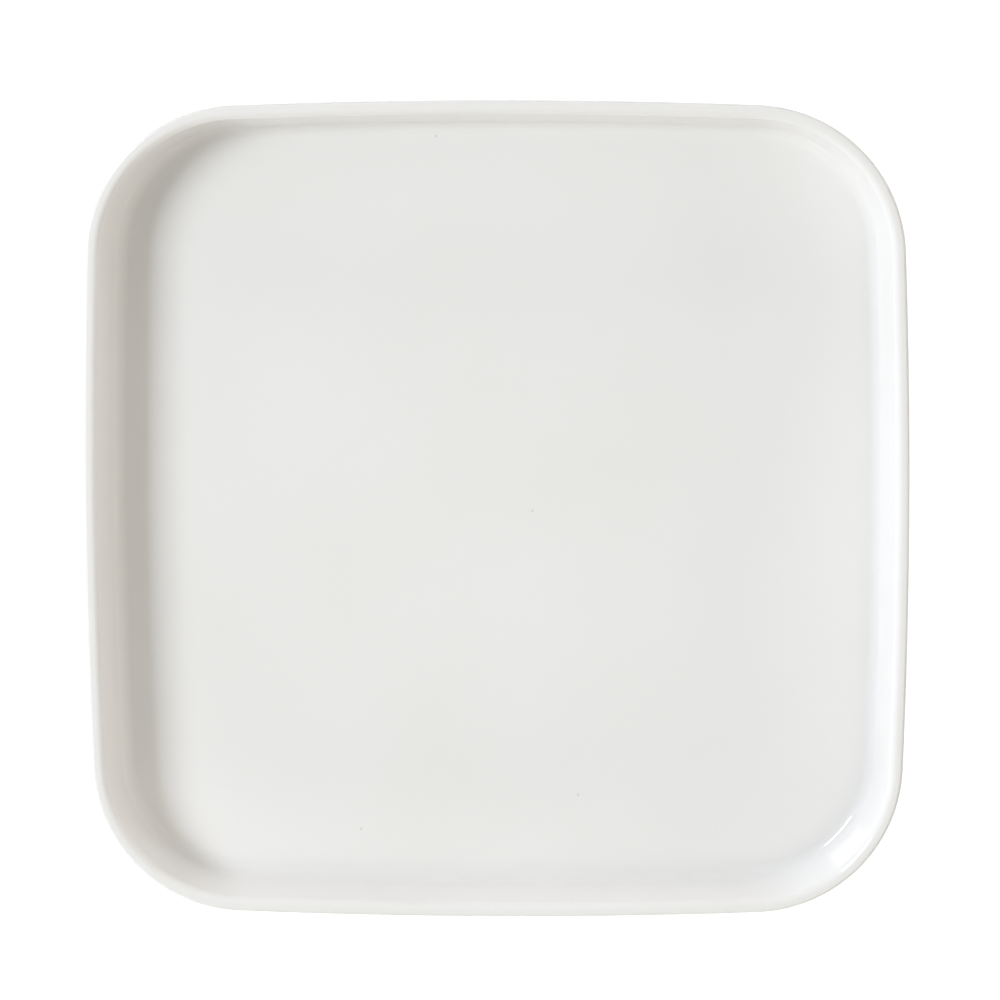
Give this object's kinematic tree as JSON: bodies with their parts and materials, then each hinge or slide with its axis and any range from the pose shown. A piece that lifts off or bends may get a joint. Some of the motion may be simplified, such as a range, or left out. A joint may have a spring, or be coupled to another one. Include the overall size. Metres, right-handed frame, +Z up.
{
  "type": "square plate",
  "caption": "Square white porcelain pasta plate with bowed sides, round corners, a low leaning wall, a narrow flat-topped rim and a bare foot ring.",
  "frame": {"origin": "middle of the plate, on the plane that the foot ring stands on", "axes": "+Z up, out of the eating face; +X and +Y square to the middles of two sides"},
  "size_m": [0.26, 0.26, 0.024],
  "materials": {
    "bisque": "fine matte, unglazed",
    "glaze": "clear gloss over white"
  },
  "bodies": {
    "root": {"porcelain_body": "bisque", "face_glaze": "glaze", "base_glaze": "glaze"}
  },
  "joints": []
}
